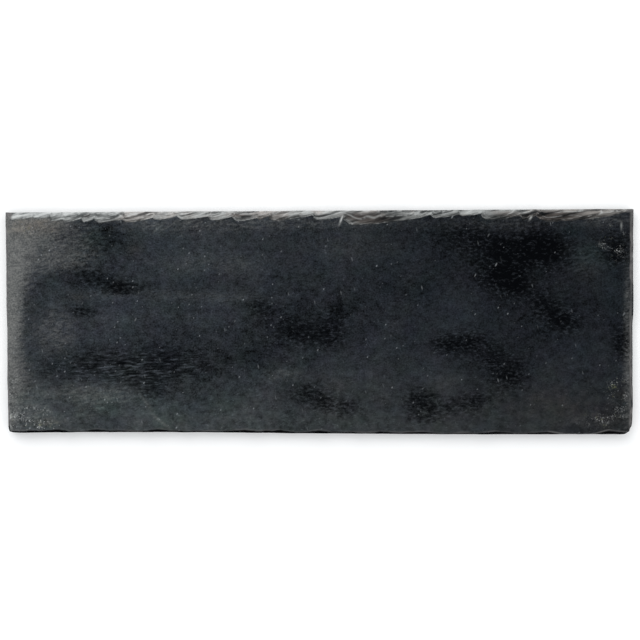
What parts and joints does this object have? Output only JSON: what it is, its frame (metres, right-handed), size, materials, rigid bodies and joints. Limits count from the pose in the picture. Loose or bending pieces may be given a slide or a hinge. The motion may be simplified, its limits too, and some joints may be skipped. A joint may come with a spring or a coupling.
{
  "type": "slate slab",
  "caption": "Long flat slab of dark riven slate with chipped, hand-dressed edges, lying face up.",
  "frame": {"origin": "centre of the slab's outline, on the surface that it rests on", "axes": "+X along the slab's length, +Y across it towards the side with the band of flake scars, +Z out of the riven face"},
  "size_m": [0.2798, 0.1005, 0.0059],
  "materials": {
    "slate": "matt"
  },
  "bodies": {
    "root": {"slate_slab": "slate"}
  },
  "joints": []
}
